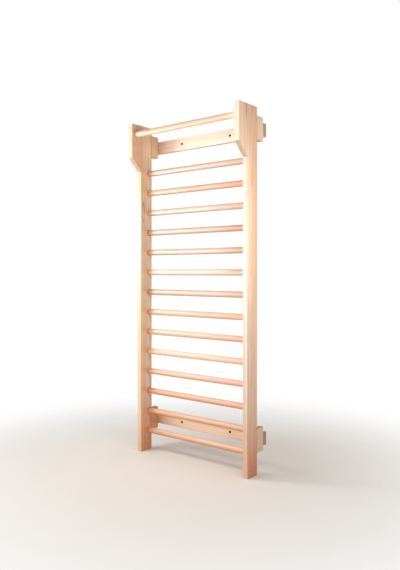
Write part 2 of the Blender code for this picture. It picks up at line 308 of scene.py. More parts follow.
# ---------------------------------------------------------------- wood
def softwood_group():
    """Solid softwood. Its growth rings are cylinders round a pith that runs along +Z beside or inside the piece.
    They wander slowly along the board, so that a flat-sawn face shows arches and an edge shows fine lines."""
    n, i, o = new_group(
        "softwood",
        [
            ("Point", "Vector"),
            ("End", "Float"),
            ("Seed", "Vector"),
            ("Pith", "Vector"),
            ("Ring", "Float"),
            ("Early", "Color"),
            ("Late", "Color"),
            ("Heart", "Color"),
            ("Lines", "Float"),
            ("Bands", "Float"),
            ("Streaks", "Float"),
            ("Swirl", "Float"),
            ("Knot", "Float"),
        ],
        [("Color", "Color"), ("Relief", "Float"), ("Gloss", "Float")],
    )
    point, seed = i["Point"], i["Seed"]

    def stretched(across, along, offset):
        """The point, with features 1/across wide and 1/along long."""
        scaled = n.vector("MULTIPLY", point, (across, across, along))
        moved = n.vector("ADD", scaled, seed)
        return n.vector("ADD", moved, (offset, offset * 0.37, offset * 0.61))

    def wander(across, along, offset, amount, detail=1.0):
        """A sideways shift of the rings."""
        field = n.noise(stretched(across, along, offset), detail, colour=True)
        centred = n.vector("SUBTRACT", field, (0.5, 0.5, 0.5))
        return n.vector("MULTIPLY", centred, (amount, amount, 0.0))

    moved = point
    for across, along, offset, amount, detail in (
        (2.6, 0.62, 3.1, 0.052, 1.0),
        (15.0, 2.1, 17.3, 0.0062, 1.0),
        (95.0, 7.0, 41.7, 0.0011, 2.0),
    ):
        moved = n.vector("ADD", moved, wander(across, along, offset, amount, detail))
    from_pith = n.vector("SUBTRACT", moved, i["Pith"])
    flat = n.vector("MULTIPLY", from_pith, (1.0, 1.0, 0.0))
    radius = n.vector("LENGTH", flat)
    count = n.math("DIVIDE", radius, i["Ring"])
    uneven = n.noise_1d(n.math("MULTIPLY", count, 0.41), 2.0)
    count = n.math("ADD", count, n.math("MULTIPLY", uneven, 2.4))
    count = n.math("ADD", count, i["Swirl"])
    year = n.math("FLOOR", count)
    within = n.math("FRACT", count)

    # each ring darkens slowly to its late wood, which then ends at a sharp line
    rise = n.step(within, 0.30, 0.93)
    fall = n.step(within, 0.955, 1.0, 1.0, 0.0)
    late = n.math("MULTIPLY", n.math("POWER", rise, 1.7), fall)
    chance = n.put("ShaderNodeTexWhiteNoise", noise_dimensions="1D")
    n.feed(chance.inputs["W"], n.math("MULTIPLY", year, 1.37))
    strength = n.math("MULTIPLY_ADD", chance.outputs["Value"], 0.75, 0.35)
    late = n.math("MULTIPLY", late, strength)

    # broad bands of pinker heartwood, and slow changes of tone along the board
    drift = n.noise(stretched(13.0, 0.7, 63.9), 2.0)
    slow = n.noise_1d(n.math("MULTIPLY", count, 0.23), 1.0)
    band = n.math("MULTIPLY_ADD", drift, 0.55, n.math("MULTIPLY", slow, 0.45))
    band = n.step(band, 0.42, 0.62)
    band = n.math("MULTIPLY", band, i["Bands"])

    # streaks a few rings wide, as neighbouring years share a summer's weather
    streak = n.noise(stretched(58.0, 0.9, 13.6), 2.0, 0.55)
    streak = n.step(streak, 0.36, 0.68)

    # fibres, fine and finer, and the short brown dashes of resin canals
    coarse = n.noise(stretched(260.0, 6.0, 91.2), 2.0, 0.6)
    fine = n.noise(stretched(1150.0, 30.0, 27.4), 2.0, 0.6)
    fibres = n.math(
        "MULTIPLY_ADD", coarse, 0.16, n.math("MULTIPLY_ADD", fine, 0.12, -0.14)
    )
    canals = n.noise(stretched(760.0, 42.0, 55.8), 0.0)
    canals = n.step(canals, 0.755, 0.83)

    colour = n.mix(band, i["Early"], i["Heart"])
    colour = n.mix(n.math("MULTIPLY", late, i["Lines"]), colour, i["Late"])
    colour = n.mix(n.math("MULTIPLY", streak, i["Streaks"]), colour, i["Late"])
    lit = n.math("ADD", fibres, 1.0)
    grey = n.put("ShaderNodeCombineColor")
    for socket in grey.inputs:
        n.feed(socket, lit)
    colour = n.mix(1.0, colour, grey.outputs[0], "MULTIPLY")
    colour = n.mix(
        n.math("MULTIPLY", canals, 0.38), colour, (0.30, 0.155, 0.070, 1.0)
    )
    colour = n.mix(
        n.math("MULTIPLY", i["Knot"], 0.82), colour, (0.22, 0.095, 0.042, 1.0)
    )
    # end grain drinks the varnish and shows darker; on the 45-degree undersides of the head blocks this is partly a
    # painted shade
    colour = n.mix(
        n.math("MULTIPLY", i["End"], 0.94),
        colour,
        n.mix(1.0, colour, (0.60, 0.47, 0.39, 1.0), "MULTIPLY"),
    )
    n.feed(o["Color"], colour)
    relief = n.math("MULTIPLY_ADD", late, 0.55, n.math("MULTIPLY", fine, 0.30))
    relief = n.math("MULTIPLY_ADD", canals, -0.5, relief)
    n.feed(o["Relief"], n.math("MULTIPLY_ADD", coarse, 0.25, relief))
    smudge = n.noise(stretched(24.0, 9.0, 71.6), 3.0)
    gloss = n.math("MULTIPLY_ADD", smudge, 0.16, -0.08)
    gloss = n.math("MULTIPLY_ADD", late, -0.05, gloss)
    gloss = n.math("MULTIPLY_ADD", i["End"], 0.20, gloss)
    n.feed(o["Gloss"], gloss)
    return n.tree


def knot_group():
    """A small branch that runs through the wood along Direction past Centre. Swirl bends the rings round it."""
    n, i, o = new_group(
        "pin_knot",
        [
            ("Point", "Vector"),
            ("Centre", "Vector"),
            ("Direction", "Vector"),
            ("Size", "Float"),
        ],
        [("Knot", "Float"), ("Swirl", "Float")],
    )
    away = n.vector("SUBTRACT", i["Point"], i["Centre"])
    along = n.vector("DOT_PRODUCT", away, i["Direction"])
    sideways = n.vector(
        "SUBTRACT", away, n.vector("SCALE", i["Direction"], scale=along)
    )
    rough = n.noise(n.vector("MULTIPLY", i["Point"], (210.0, 210.0, 120.0)), 2.0)
    shape = n.vector("MULTIPLY", sideways, (1.0, 1.0, 0.62))
    off = n.math("DIVIDE", n.vector("LENGTH", shape), i["Size"])
    off = n.math("ADD", off, n.math("MULTIPLY_ADD", rough, 0.7, -0.35))
    n.feed(o["Knot"], n.step(off, 0.72, 1.12, 1.0, 0.0))
    wide = n.math("MULTIPLY", n.math("MULTIPLY", off, off), 0.16)
    n.feed(o["Swirl"], n.math("MULTIPLY", n.math("EXPONENT", n.math("MULTIPLY", wide, -1.0)), 1.6))
    return n.tree


def figure_group():
    """A bulge in the growth rings, which a flat-sawn face cuts into long ovals. Rings is how many it lifts."""
    n, i, o = new_group(
        "ring_figure",
        [
            ("Point", "Vector"),
            ("Centre", "Vector"),
            ("Reach", "Vector"),
            ("Rings", "Float"),
        ],
        [("Swirl", "Float")],
    )
    away = n.vector("SUBTRACT", i["Point"], i["Centre"])
    off = n.vector("LENGTH", n.vector("DIVIDE", away, i["Reach"]))
    fall = n.math("EXPONENT", n.math("MULTIPLY", n.math("MULTIPLY", off, off), -1.0))
    n.feed(o["Swirl"], n.math("MULTIPLY", fall, i["Rings"]))
    return n.tree


SOFTWOOD = softwood_group()
KNOT = knot_group()
FIGURE = figure_group()
TURN_TO_Z = {
    "X": (0.0, -math.pi / 2, 0.0),
    "Y": (math.pi / 2, 0.0, 0.0),
    "Z": (0.0, 0.0, 0.0),
}
GRAIN = {"X": (1.0, 0.0, 0.0), "Y": (0.0, 1.0, 0.0), "Z": (0.0, 0.0, 1.0)}


def varnished_wood(
    name,
    grain,
    seed,
    pith,
    ring,
    early,
    late,
    heart,
    lines=0.75,
    bands=0.8,
    streaks=0.30,
    roughness=0.44,
    coat=0.30,
    relief=0.00022,
    knots=(),
    figures=(),
    sap_and_sheen=(),
    turns=(),
    ovals=(),
    face_shade=None,
    foot_shade=None,
    seams=(),
):
    """A piece's own finish. The rings, knots and figures are stated in the piece turned so that its grain runs along
    +Z.
    Lighter fronts are (y, reach, tone, foot, head): the wood turns to that lighter tone towards -Y, over `reach` round
    the plane y, along the stretch of it between the heights foot and head, each of which is (where it fades out, where
    it is full). They are partly a sapwood band and partly a painted highlight on the lit front faces.
    turns are (axis, low, high, at_low, at_high, tone): the share of that other tone along the axis.
    ovals are (y, z, half width, half height, strength): one dark growth ring that surfaces as a long oval.
    A face tint is (direction, tint): the face that looks that way is multiplied by that tint, a painted shade on a face
    that lies in shade.
    The foot shade is (low, high, front): painted shade makes the wood browner from the height `high` down to `low`,
    but hardly so on the front face, in the plane y = front, where the light falls; it also darkens the rear arris.
    seams are (y, top, fall, faint, strong): a dark line in the plane y, faint all along, with a strong and stained part
    at z = top that fades below it over `fall`."""
    made = bpy.data.materials.new(name)
    made.use_nodes = True
    n = Nodes(made.node_tree)
    shader = made.node_tree.nodes["Principled BSDF"]
    where = n.put("ShaderNodeTexCoord")
    turn = n.put("ShaderNodeMapping", vector_type="POINT")
    turn.inputs["Rotation"].default_value = TURN_TO_Z[grain]
    n.feed(turn.inputs["Vector"], where.outputs["Object"])
    point = turn.outputs["Vector"]
    end = n.vector("DOT_PRODUCT", where.outputs["Normal"], GRAIN[grain])
    # the step counts the 45-degree undersides of the head blocks as full end grain, a painted shade on them
    end = n.step(n.math("ABSOLUTE", end), 0.42, 0.68)
    knot, swirl = 0.0, 0.0
    for centre, direction, size in knots:
        one = n.group(KNOT, Point=point, Centre=centre, Direction=direction, Size=size)
        first = isinstance(knot, float)
        knot = (
            one.outputs["Knot"]
            if first
            else n.math("MAXIMUM", knot, one.outputs["Knot"])
        )
        swirl = (
            one.outputs["Swirl"]
            if first
            else n.math("ADD", swirl, one.outputs["Swirl"])
        )
    for centre, reach, rings in figures:
        bulge = n.group(FIGURE, Point=point, Centre=centre, Reach=reach, Rings=rings)
        swirl = n.math("ADD", swirl, bulge.outputs["Swirl"])
    tones = [(*early, 1.0), (*late, 1.0), (*heart, 1.0)]
    split = n.put("ShaderNodeSeparateXYZ")
    n.feed(split.inputs[0], where.outputs["Object"])
    # partly sapwood, partly a painted highlight: lighter towards the front
    for y, reach, pale, foot, head in sap_and_sheen:
        drift = n.noise(
            n.vector("MULTIPLY", where.outputs["Object"], (18.0, 30.0, 1.3)), 2.0
        )
        edge = n.math("MULTIPLY_ADD", drift, 1.6 * reach, y - 0.8 * reach)
        edge = n.math("SUBTRACT", split.outputs["Y"], edge)
        share = n.step(edge, -reach, reach, 1.0, 0.0)
        share = n.math("MULTIPLY", share, n.step(split.outputs["Z"], *foot))
        share = n.math("MULTIPLY", share, n.step(split.outputs["Z"], head[1], head[0], 1.0, 0.0))
        tones = [n.mix(share, a, (*b, 1.0)) for a, b in zip(tones, pale)]
    for axis, start, stop, at_start, at_stop, other in turns:
        share = n.step(split.outputs[axis], start, stop, at_start, at_stop)
        tones = [n.mix(share, a, (*b, 1.0)) for a, b in zip(tones, other)]
    wood = n.group(
        SOFTWOOD,
        Point=point,
        End=end,
        Seed=(seed * 7.31, seed * 3.77, seed * 5.13),
        Pith=pith,
        Ring=ring,
        Early=tones[0],
        Late=tones[1],
        Heart=tones[2],
        Lines=lines,
        Bands=bands,
        Streaks=streaks,
        Swirl=swirl,
        Knot=knot,
    )
    colour = wood.outputs["Color"]
    # painted shade: the face that looks that way is darkened by the tint
    if face_shade is not None:
        facing = n.vector("DOT_PRODUCT", where.outputs["Normal"], face_shade[0])
        colour = n.mix(
            n.step(facing, 0.90, 0.98), colour, n.mix(1.0, colour, face_shade[1], "MULTIPLY")
        )
    for y, z, wide, tall, strength in ovals:
        bent = n.noise(n.vector("MULTIPLY", where.outputs["Object"], (0.0, 40.0, 14.0)), 2.0)
        aside = n.math("DIVIDE", n.math("SUBTRACT", split.outputs["Y"], y), wide)
        above = n.math("DIVIDE", n.math("SUBTRACT", split.outputs["Z"], z), tall)
        off = n.math("SQRT", n.math("MULTIPLY_ADD", aside, aside, n.math("MULTIPLY", above, above)))
        off = n.math("ADD", off, n.math("MULTIPLY_ADD", bent, 0.7, -0.35))
        line = n.step(n.math("ABSOLUTE", n.math("SUBTRACT", off, 1.0)), 0.07, 0.26, strength, 0.0)
        colour = n.mix(line, colour, n.mix(1.0, colour, (0.58, 0.38, 0.26, 1.0), "MULTIPLY"))
    for y, top, fall, faint, strong in seams:
        ragged = n.noise(
            n.vector("MULTIPLY", where.outputs["Object"], (60.0, 60.0, 45.0)), 3.0
        )
        off = n.math("ABSOLUTE", n.math("SUBTRACT", split.outputs["Y"], y))
        high = n.step(split.outputs["Z"], top - fall, top - 0.15 * fall)
        high = n.math("MULTIPLY", high, high)
        # what soaked into the wood on either side, then the line itself
        darkening = n.math("EXPONENT", n.math("MULTIPLY", off, -1.0 / 0.007))
        darkening = n.math("MULTIPLY", darkening, n.math("MULTIPLY", high, 0.40 * strong))
        colour = n.mix(
            darkening, colour, n.mix(1.0, colour, (0.74, 0.54, 0.42, 1.0), "MULTIPLY")
        )
        wide = n.math("MULTIPLY_ADD", high, 0.0030 * strong, 0.0007)
        wide = n.math("MULTIPLY", wide, n.math("MULTIPLY_ADD", ragged, 1.2, 0.4))
        line = n.step(off, n.math("MULTIPLY", wide, 0.5), wide, 1.0, 0.0)
        line = n.math("MULTIPLY", line, n.math("MULTIPLY_ADD", high, strong, faint))
        colour = n.mix(line, colour, (0.150, 0.066, 0.030, 1.0))
    # painted shade: browner towards the foot, hardly so on the lit front face
    if foot_shade is not None:
        low, high, front = foot_shade
        patchy = n.noise(
            n.vector("MULTIPLY", where.outputs["Object"], (14.0, 14.0, 6.0)), 3.0
        )
        down = n.math("MULTIPLY_ADD", patchy, 0.10, split.outputs["Z"])
        down = n.step(down, low + 0.05, high + 0.05, 1.0, 0.0)
        off_front = n.step(split.outputs["Y"], front + 0.002, front + 0.006, 0.12, 1.0)
        colour = n.mix(
            n.math("MULTIPLY", n.math("POWER", down, 1.5), off_front),
            colour,
            n.mix(1.0, colour, (0.86, 0.56, 0.43, 1.0), "MULTIPLY"),
        )
        # painted shade: a darker strip along the rear arris
        rear_shade = n.step(split.outputs["Y"], -front - 0.0075, -front - 0.0015, 0.0, 0.75)
        colour = n.mix(rear_shade, colour, n.mix(1.0, colour, (0.74, 0.62, 0.54, 1.0), "MULTIPLY"))
    n.feed(shader.inputs["Base Color"], colour)
    n.feed(
        shader.inputs["Roughness"],
        n.math("ADD", wood.outputs["Gloss"], roughness, clamp=True),
    )
    bump = n.put("ShaderNodeBump")
    bump.inputs["Strength"].default_value = 1.0
    bump.inputs["Distance"].default_value = relief
    n.feed(bump.inputs["Height"], wood.outputs["Relief"])
    n.feed(shader.inputs["Normal"], bump.outputs["Normal"])
    shader.inputs["Coat Weight"].default_value = coat
    shader.inputs["Coat Roughness"].default_value = 0.30
    made.diffuse_color = (*early, 1.0)
    return made


def hole_shade():
    """The walls of a drilled hole, near black with torn fibres: a painted shade for the dark inside of a hole."""
    made = bpy.data.materials.new("hole_shade")
    made.use_nodes = True
    n = Nodes(made.node_tree)
    shader = made.node_tree.nodes["Principled BSDF"]
    where = n.put("ShaderNodeTexCoord")
    torn = n.noise(
        n.vector("MULTIPLY", where.outputs["Object"], (700.0, 700.0, 700.0)), 3.0, 0.6
    )
    n.feed(
        shader.inputs["Base Color"],
        n.mix(torn, (0.010, 0.005, 0.003, 1.0), (0.040, 0.020, 0.010, 1.0)),
    )
    n.feed(shader.inputs["Roughness"], n.math("MULTIPLY_ADD", torn, 0.2, 0.75))
    bump = n.put("ShaderNodeBump")
    bump.inputs["Distance"].default_value = 0.0003
    n.feed(bump.inputs["Height"], torn)
    n.feed(shader.inputs["Normal"], bump.outputs["Normal"])
    return made


def zinc_plated_steel():
    """The joining screws: bright zinc, faintly clouded, with fine scratches round the head."""
    made = bpy.data.materials.new("zinc_plated_steel")
    made.use_nodes = True
    n = Nodes(made.node_tree)
    shader = made.node_tree.nodes["Principled BSDF"]
    where = n.put("ShaderNodeTexCoord")
    cloud = n.noise(
        n.vector("MULTIPLY", where.outputs["Object"], (240.0, 240.0, 240.0)), 4.0, 0.6
    )
    fine = n.noise(
        n.vector("MULTIPLY", where.outputs["Object"], (2600.0, 500.0, 2600.0)), 2.0
    )
    n.feed(
        shader.inputs["Base Color"],
        n.mix(cloud, (0.56, 0.56, 0.55, 1.0), (0.74, 0.73, 0.69, 1.0)),
    )
    shader.inputs["Metallic"].default_value = 1.0
    n.feed(
        shader.inputs["Roughness"],
        n.math("MULTIPLY_ADD", cloud, 0.22, n.math("MULTIPLY_ADD", fine, 0.12, 0.16)),
    )
    bump = n.put("ShaderNodeBump")
    bump.inputs["Distance"].default_value = 0.00003
    n.feed(bump.inputs["Height"], fine)
    n.feed(shader.inputs["Normal"], bump.outputs["Normal"])
    return made


# painted shade: every cut hole is lined near black
HOLE_SHADE = hole_shade()
STEEL = zinc_plated_steel()

# ---------------------------------------------------------------- the uprights and their head blocks
SIDES = (("left", -1), ("right", 1))
RUNGS = ["rung_%02d" % (k + 1) for k in range(14)]



def tone(early):
    """Early wood, late wood and heartwood of one tone."""
    return tuple(
        tuple(c * share for c, share in zip(early, shares))
        for shares in ((1.0, 1.0, 1.0), (0.77, 0.63, 0.52), (0.94, 0.85, 0.81))
    )


PLANK_TONES = {"left": tone((0.950, 0.690, 0.487)), "right": tone((0.940, 0.625, 0.432))}
HEAD_TONES = {"left": tone((0.940, 0.610, 0.405)), "right": tone((0.950, 0.715, 0.500))}
WHOLE = (-3.0, -2.0), (3.0, 2.0)
# partly sapwood, partly a painted highlight: the planks lighter towards their lit front faces
PLANK_SAP_AND_SHEEN = {
    "left": ((-0.0495, 0.0020, tone((0.950, 0.685, 0.465)), *WHOLE),),
    "right": (
        (-0.020, 0.016, tone((0.950, 0.770, 0.590)), (-0.85, -0.30), (1.00, 0.74)),
        (-0.0495, 0.0020, tone((0.950, 0.830, 0.690)), (-0.95, -0.48), (1.30, 0.45)),
    ),
}
# partly sapwood, partly a painted highlight: the right head lighter towards its lit front
HEAD_SAP_AND_SHEEN = {
    "left": (),
    "right": ((-0.012, 0.020, tone((0.950, 0.765, 0.620)), *WHOLE),),
}
BLOCK_TONES = {
    "upper_left": tone((0.960, 0.650, 0.425)),
    "upper_right": tone((0.960, 0.790, 0.610)),
    "lower_left": tone((0.950, 0.545, 0.320)),
    "lower_right": tone((0.960, 0.690, 0.500)),
}
RAIL_TONES = {"upper": tone((0.905, 0.775, 0.650)), "lower": tone((0.950, 0.740, 0.552))}
# painted light and shade: the rails lighter at their left ends, which lie in shade, and the lower rail darker at its
# right end
RAIL_END_LIGHT_AND_SHADE = {
    "upper": (("X", -0.36, -0.20, 1.0, 0.0, tone((0.960, 0.745, 0.580))),),
    "lower": (
        ("X", -0.40, -0.33, 1.0, 0.0, tone((0.970, 0.830, 0.600))),
        ("X", 0.08, 0.24, 0.0, 1.0, tone((0.870, 0.665, 0.495))),
    ),
}


def make_upright(side_name, side, finish):
    node = side_name + "_upright"
    low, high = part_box(node)
    size, centre = high - low, (low + high) / 2
    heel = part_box(side_name + "_head_block")[0].z - centre.z
    bm = bmesh.new()
    bmesh.ops.create_cube(bm, size=1.0)
    bmesh.ops.scale(bm, vec=size, verts=bm.verts[:])
    bmesh.ops.bisect_plane(
        bm,
        geom=bm.verts[:] + bm.edges[:] + bm.faces[:],
        plane_co=(0, 0, heel),
        plane_no=(0, 0, 1),
    )
    obj = mesh_object(side_name + "_plank", bm)
    obj.data.materials.append(finish)
    front, foot = -size.y / 2 + 1e-5, -size.z / 2 + 1e-5

    def width_of(a, b):
        if abs(a.z - heel) < 1e-5 and abs(b.z - heel) < 1e-5:
            return 0.0
        if a.y < front and b.y < front and min(a.z, b.z) > heel - 1e-5:
            return GLUE_EDGE
        long_one = abs(a.y - b.y) > size.y / 2
        if long_one and max(a.z, b.z) < foot:
            return FOOT_EDGE
        return ARRIS if max(a.y, b.y) < front else EDGE

    ease(obj, width_of)
    bm = bmesh.new()
    inner = -side * size.x / 2
    turn = ALONG_X if side > 0 else AGAINST_X
    for rung in RUNGS:
        box_low, box_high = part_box(rung)
        at = (box_low + box_high) / 2 - centre
        radius = (box_high.z - box_low.z) / 2
        depth = (box_high.x - box_low.x) / 2 - (abs(centre.x) - size.x / 2) + GAP
        bore(
            bm,
            (inner, at.y, at.z),
            turn,
            2 * radius + 0.0003,
            depth,
            MORTISE_EASE,
            point=False,
            sides=ROUND,
        )
    for rail in ("upper", "lower"):
        for level in ("low", "high"):
            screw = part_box(f"{rail}_{side_name}_joining_screw_{level}")
            at = (screw[0] + screw[1]) / 2 - centre
            depth = high.y - screw[0].y + 0.002
            bore(bm, (0.0, size.y / 2, at.z), AGAINST_Y, SCREW_HOLE_D, depth)
    for level in ("lower", "upper"):
        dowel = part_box(f"{side_name}_head_dowel_{level}")
        at = (dowel[0] + dowel[1]) / 2 - centre
        depth = dowel[1].y - low.y + 0.0008
        bore(bm, (0.0, -size.y / 2, at.z), ALONG_Y, DOWEL_HOLE_D, depth)
    cut(obj, bm, HOLE_SHADE)
    shade(obj)
    return place(obj, centre, node, "plank_wood")


def make_head(side_name, side, finish):
    node = side_name + "_head_block"
    low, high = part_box(node)
    size, centre = high - low, (low + high) / 2
    nose = low.z + size.y  # the underside slopes at 45 degrees
    outline = [(low.y, nose), (low.y, high.z), (high.y, high.z), (high.y, low.z)]
    bm = bmesh.new()
    flat = bm.faces.new(
        [
            bm.verts.new((-size.x / 2, y - centre.y, z - centre.z))
            for y, z in outline
        ]
    )
    grown = bmesh.ops.extrude_face_region(bm, geom=[flat])
    bmesh.ops.translate(
        bm,
        vec=(size.x, 0, 0),
        verts=[v for v in grown["geom"] if isinstance(v, bmesh.types.BMVert)],
    )
    obj = mesh_object(side_name + "_head", bm)
    obj.data.materials.append(finish)
    glued = size.y / 2 - 1e-5
    ease(obj, lambda a, b: GLUE_EDGE if min(a.y, b.y) > glued else ARRIS)
    bm = bmesh.new()
    inner = -side * size.x / 2
    turn = ALONG_X if side > 0 else AGAINST_X
    box_low, box_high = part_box("pull_up_bar")
    at = (box_low + box_high) / 2 - centre
    depth = (box_high.x - box_low.x) / 2 - (abs(centre.x) - size.x / 2) + GAP
    bore(
        bm,
        (inner, at.y, at.z),
        turn,
        box_high.z - box_low.z + 0.0003,
        depth,
        MORTISE_EASE,
        point=False,
        sides=ROUND,
    )
    for level in ("lower", "upper"):
        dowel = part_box(f"{side_name}_head_dowel_{level}")
        at = (dowel[0] + dowel[1]) / 2 - centre
        depth = high.y - dowel[0].y + 0.0008
        bore(bm, (0.0, size.y / 2, at.z), AGAINST_Y, DOWEL_HOLE_D, depth)
    cut(obj, bm, HOLE_SHADE)
    shade(obj)
    return place(obj, centre, node, "head_wood")


for k, (side_name, side) in enumerate(SIDES):
    plank_low, plank_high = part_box(side_name + "_upright")
    head_low, head_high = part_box(side_name + "_head_block")
    joint = plank_low.y
    foot = plank_low.z - (plank_low.z + plank_high.z) / 2
    figures = (
        (((0.016, -0.031, 0.520), (0.030, 0.012, 0.055), 1.7),) if side < 0 else ()
    )
    ovals = ((-0.031, 0.518, 0.011, 0.060, 0.75),) if side < 0 else ()
    make_upright(
        side_name,
        side,
        varnished_wood(
            side_name + "_plank_wood",
            "Z",
            3.7 + 11.3 * k,
            (side * 0.083, 0.012 - 0.02 * k, 0.0),
            0.0042,
            *PLANK_TONES[side_name],
            lines=0.95,
            streaks=0.48,
            coat=0.70 if side > 0 else 0.50,
            figures=figures,
            ovals=ovals,
            sap_and_sheen=PLANK_SAP_AND_SHEEN[side_name],
            foot_shade=(foot + 0.02, foot + 0.50, (plank_low.y - plank_high.y) / 2),
            seams=((joint - (plank_low.y + plank_high.y) / 2, 1.1, 0.16, 0.30, 0.0),),
        ),
    )
    knots = (
        (
            ((0.0, 0.004, 0.118), (1.0, 0.1, 0.0), 0.0038),
            ((0.0, -0.026, 0.018), (1.0, 0.0, 0.1), 0.0044),
            ((0.0, 0.018, -0.035), (1.0, -0.1, 0.0), 0.0036),
        )
        if side < 0
        else ()
    )
    glued = joint - (head_low.y + head_high.y) / 2
    top = (head_high.z - head_low.z) / 2
    seams = ((glued, top, 0.16, 0.30, 0.0),)
    if side > 0:  # a dark shake in the wood, near the joint
        seams += ((glued - 0.0120, top, 0.20, 0.10, 0.88),)
    make_head(
        side_name,
        side,
        varnished_wood(
            side_name + "_head_wood",
            "Z",
            23.1 + 5.9 * k,
            (side * 0.060, 0.055, 0.0),
            0.0034,
            *HEAD_TONES[side_name],
            knots=knots,
            lines=0.95,
            streaks=0.42,
            coat=0.50,
            sap_and_sheen=HEAD_SAP_AND_SHEEN[side_name],
            face_shade=((0.0, -math.sqrt(0.5), -math.sqrt(0.5)), (0.73, 0.86, 0.97, 1.0)),
            seams=seams,
        ),
    )

# ---------------------------------------------------------------- rungs and bar
ROD_TONES = {
    "cream": tone((0.710, 0.551, 0.417)),
    "straw": tone((0.650, 0.478, 0.360)),
    "blush": tone((0.870, 0.565, 0.397)),
    "peach": tone((0.750, 0.490, 0.335)),
    "honey": tone((0.750, 0.435, 0.295)),
    "salmon": tone((0.620, 0.430, 0.315)),
    "amber": tone((0.710, 0.392, 0.227)),
}
RUNG_TONES = (  # from rung_01, the lowest
    "amber amber amber honey blush peach honey salmon cream straw salmon straw honey straw"
).split()
RUNG_TOP_LIGHT = (0.9, 1, 0.8, 0.7, 0.3, 0.5, 0.4, 0, 0, 0, 0, 0, 0, 0)  # painted highlight: how much lighter each rung's top is
RUNG_UNDER_SHADE = (1, 0.6, 1, 0.3, 0.3, 0.1, 0.2, 0, 0.3, 0.4, 0.3, 0.4, 0.5, 0.3)  # painted shade: how much browner each rung is below
RUNG_MID_LIGHT = (0, 0, 0, 0, 0, 0, 0, 1, 0.8, 1, 1, 1, 0.3, 0.4)  # painted highlight: lighter from the middle on
RUNG_RIGHT_SHADE = (0.3, 0, 0.15, 0.1, 0.4, 0.3, 0, 0.5, 0.7, 1.0, 1.1, 0.75, 1.0, 0.6)  # painted shade: darker and pinker towards +X, near the right upright
RUNG_END_SHADE = (1.12, 0.97, 0.94, 1.0, 1.03, 0.92, 1, 0.91, 1.02, 0.98, 0.89, 1, 1.16, 0.87)  # painted shade at the -X ends, per rung
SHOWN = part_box("right_upright")[0].x  # a rung shows between the planks


def make_rod(name, node, finish, slot):
    low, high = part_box(node)
    radius, half = (high.z - low.z) / 2, (high.x - low.x) / 2
    chamfer = 0.0015
    inner = half - chamfer
    stations = [-inner + 2 * inner * k / 8 for k in range(9)]
    profile = [(radius - chamfer, -half)]
    profile += [(radius, z) for z in stations]
    profile += [(radius - chamfer, half)]
    bm = bmesh.new()
    turned(bm, profile, ALONG_X, ROUND)
    obj = mesh_object(name, bm)
    obj.data.materials.append(finish)
    shade(obj)
    return place(obj, (low + high) / 2, node, slot)


def times(tones, r, g, b):
    return tuple((min(t[0] * r, 0.95), t[1] * g, t[2] * b) for t in tones)


def at_both_ends(reach, left, right):
    """Another tone near each plank, over `reach` of what shows."""
    return (
        ("X", -SHOWN, -SHOWN + reach, 1.0, 0.0, left),
        ("X", SHOWN - reach, SHOWN, 0.0, 1.0, right),
    )


for k, (rung, tone_name) in enumerate(zip(RUNGS, RUNG_TONES)):
    angle = 2.4 * k + 0.6
    reach = 0.034 + 0.012 * ((k * 5) % 4)
    own = ROD_TONES[tone_name]
    # painted highlight: the rung turns lighter from its middle on, where it shows brightest lit
    lit_middle = ("X", -0.22, 0.04, 0.0, RUNG_MID_LIGHT[k], times(own, 1.0, 1.09, 1.19))
    # painted shade: the rung turns darker and pinker towards the right upright, which shades it
    blush = ("X", 0.10, 0.38, 0.0, RUNG_RIGHT_SHADE[k], times(own, 1.0, 0.74, 0.70))
    radius = (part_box(rung)[1].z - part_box(rung)[0].z) / 2
    # painted highlight: the rung's top turns lighter
    lit_top = ("Z", 0.55 * radius, 0.93 * radius, 0.0, RUNG_TOP_LIGHT[k], times(own, 1.10, 1.38, 1.60))
    # painted shade: the rung's underside turns browner
    under = ("Z", -0.90 * radius, -0.15 * radius, RUNG_UNDER_SHADE[k], 0.0, times(own, 0.66, 0.65, 0.67))
    pale = RUNG_END_SHADE[k]
    darkening = at_both_ends(  # painted shade: both ends darker and oranger, where the uprights shade them
        0.075, times(own, 1.30, 0.97 * pale, 0.76 * pale**2), times(own, 1.30, 0.97, 0.76)
    )
    make_rod(
        rung + "_rod",
        rung,
        varnished_wood(
            rung + "_wood",
            "X",
            40.3 + 6.7 * k,
            (reach * math.cos(angle), reach * math.sin(angle), 0.0),
            0.0034 + 0.0003 * (k % 3),
            *own,
            turns=(lit_middle, blush, lit_top, under, *darkening),
            lines=0.7,
            roughness=0.38,
            coat=0.45,
        ),
        "rung_wood",
    )
make_rod(
    "pull_up_bar_rod",
    "pull_up_bar",
    varnished_wood(
        "pull_up_bar_wood",
        "X",
        151.9,
        (0.041, 0.020, 0.0),
        0.0037,
        *ROD_TONES["peach"],
        # painted highlight: the bar turns lighter towards both ends, as if brightly lit there
        turns=at_both_ends(0.110, tone((0.930, 0.700, 0.500)), tone((0.930, 0.700, 0.500))),
        lines=0.6,
        roughness=0.36,
        coat=0.45,
    ),
    "rung_wood",
)


